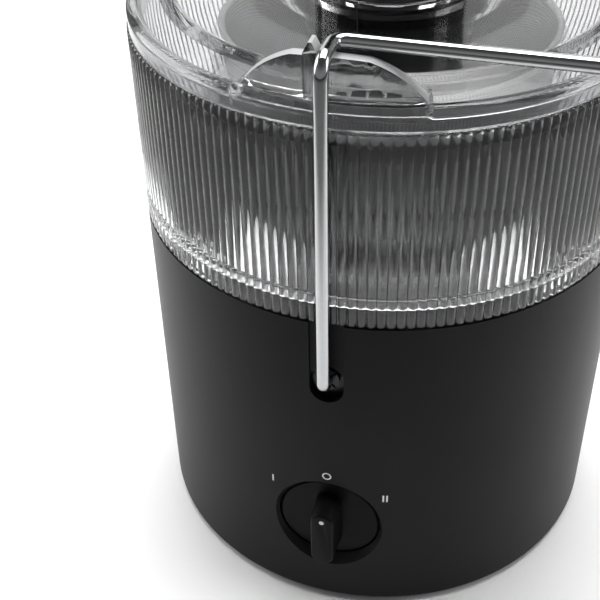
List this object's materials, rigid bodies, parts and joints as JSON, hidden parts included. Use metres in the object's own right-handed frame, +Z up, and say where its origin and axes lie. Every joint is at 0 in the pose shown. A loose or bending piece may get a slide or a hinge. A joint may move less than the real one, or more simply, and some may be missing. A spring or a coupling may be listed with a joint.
{
  "type": "centrifugal juicer",
  "caption": "Electric centrifugal juicer with a round black base, a fluted clear pulp bowl, a clear lid with feed chute and pusher, a wire bail lock and a dial knob.",
  "frame": {"origin": "centre of the round base on the plane that the foot ring stands on", "axes": "+Z up; the speed knob and one bail pivot face -Y; the bail swings forward to +X, where the juice spout is"},
  "size_m": [0.232, 0.216, 0.3309],
  "materials": {
    "black_satin": "satin moulded plastic",
    "black_gloss": "semi-gloss moulded plastic",
    "black_trim": "satin moulded plastic",
    "white_print": "printed",
    "clear_plastic": "clear polished plastic",
    "chrome_wire": "polished chrome plating",
    "steel": "satin stainless steel",
    "zinc_steel": "zinc plated",
    "lamination": "varnished steel laminations",
    "cast_alloy": "as cast",
    "copper": "enamelled copper",
    "carbon": "pressed carbon",
    "white_plastic": "moulded plastic",
    "rubber": "matte"
  },
  "bodies": {
    "base": {"base_housing": "black_satin", "base_plate": "black_satin", "foot_ring": "rubber", "base_screws": "zinc_steel", "top_deck": "black_satin", "deck_screws": "zinc_steel", "motor_mounts": "rubber", "upper_bracket": "cast_alloy", "lower_bracket": "cast_alloy", "motor_screws": "zinc_steel", "stator_core": "lamination", "field_windings": "copper", "upper_bearing": "steel", "lower_bearing": "steel", "brush_holders": "copper", "carbon_brushes": "carbon", "shaft_seal": "rubber", "collector_wall": "clear_plastic", "collector_floor": "clear_plastic", "juice_spout": "clear_plastic", "bowl_wall": "clear_plastic", "bowl_floor": "clear_plastic", "lid_cover": "clear_plastic", "bail_ribs": "clear_plastic", "bail_stops": "clear_plastic", "feed_chute": "clear_plastic", "pivot_inserts": "black_trim", "pivot_bushes": "black_trim", "rotary_switch": "black_trim", "dial_marks": "white_print", "lid_switch": "black_trim", "cord_gland": "rubber"},
    "rotor": {"motor_shaft": "steel", "armature_core": "lamination", "armature_winding": "copper", "commutator": "copper", "cooling_fan": "white_plastic", "drive_coupling": "white_plastic", "filter_basket": "steel", "grater_disc": "steel"},
    "pusher": {"pusher_body": "black_satin", "pusher_cap": "black_satin"},
    "bail": {"bail_wire": "chrome_wire", "bail_clips": "zinc_steel"},
    "knob": {"speed_knob": "black_gloss", "knob_dot": "white_print", "switch_shaft": "steel"}
  },
  "joints": [
    {"name": "rotor_spin", "type": "hinge", "parent": "base", "child": "rotor", "pos_m": [0, 0, 0.1], "axis": [0, 0, 1], "continuous": true},
    {"name": "pusher_slide", "type": "slide", "parent": "base", "child": "pusher", "axis": [0, 0, 1], "range_m": [0, 0.125]},
    {"name": "bail_swing", "type": "hinge", "parent": "base", "child": "bail", "pos_m": [0, 0, 0.129], "axis": [0, 1, 0], "range_deg": [0, 90]},
    {"name": "knob_turn", "type": "hinge", "parent": "base", "child": "knob", "pos_m": [0, -0.1, 0.0482], "axis": [0, -1, 0], "range_deg": [-50, 50]}
  ]
}
